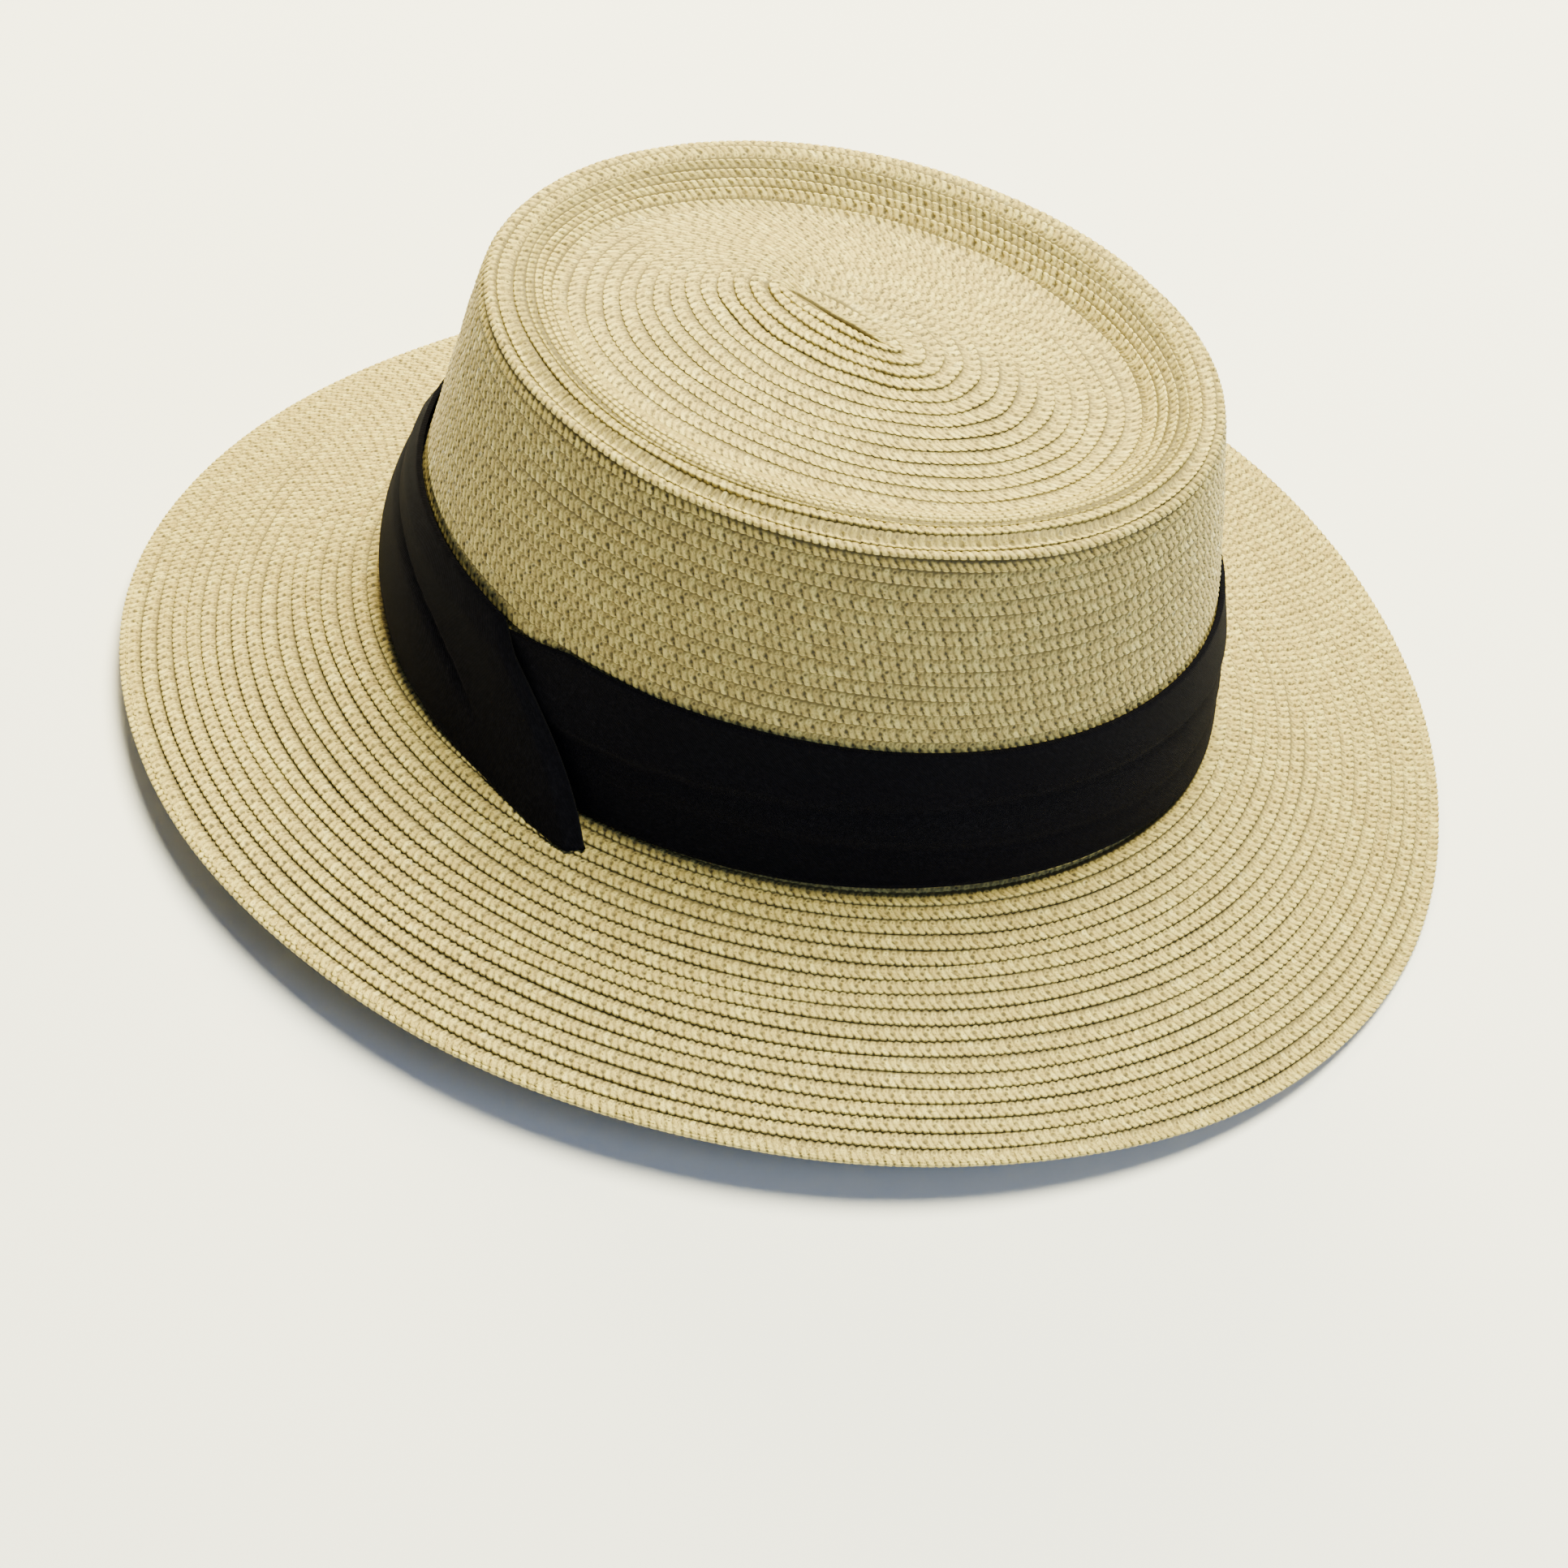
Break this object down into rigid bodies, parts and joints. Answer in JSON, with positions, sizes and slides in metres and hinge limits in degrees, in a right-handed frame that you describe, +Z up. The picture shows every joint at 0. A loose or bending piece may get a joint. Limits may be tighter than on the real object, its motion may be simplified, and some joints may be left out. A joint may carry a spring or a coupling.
{
  "type": "straw boater hat",
  "caption": "Oval straw boater with a sunken flat-topped crown, a wide drooping brim and a pleated black cloth band whose slanting end laps over its start",
  "frame": {"origin": "on the surface that the brim rests on, under the middle of the hat's outline", "axes": "+Z up through the crown, Y along the long way of the head, X from ear to ear"},
  "size_m": [0.3054, 0.329, 0.1223],
  "materials": {
    "straw": "sewn paper-straw braid, natural cream, matte with a slight sheen",
    "band_cloth": "matte near-black woven cloth"
  },
  "bodies": {
    "root": {"crown_tip": "straw", "crown_side": "straw", "brim": "straw", "hatband": "band_cloth"}
  },
  "joints": []
}
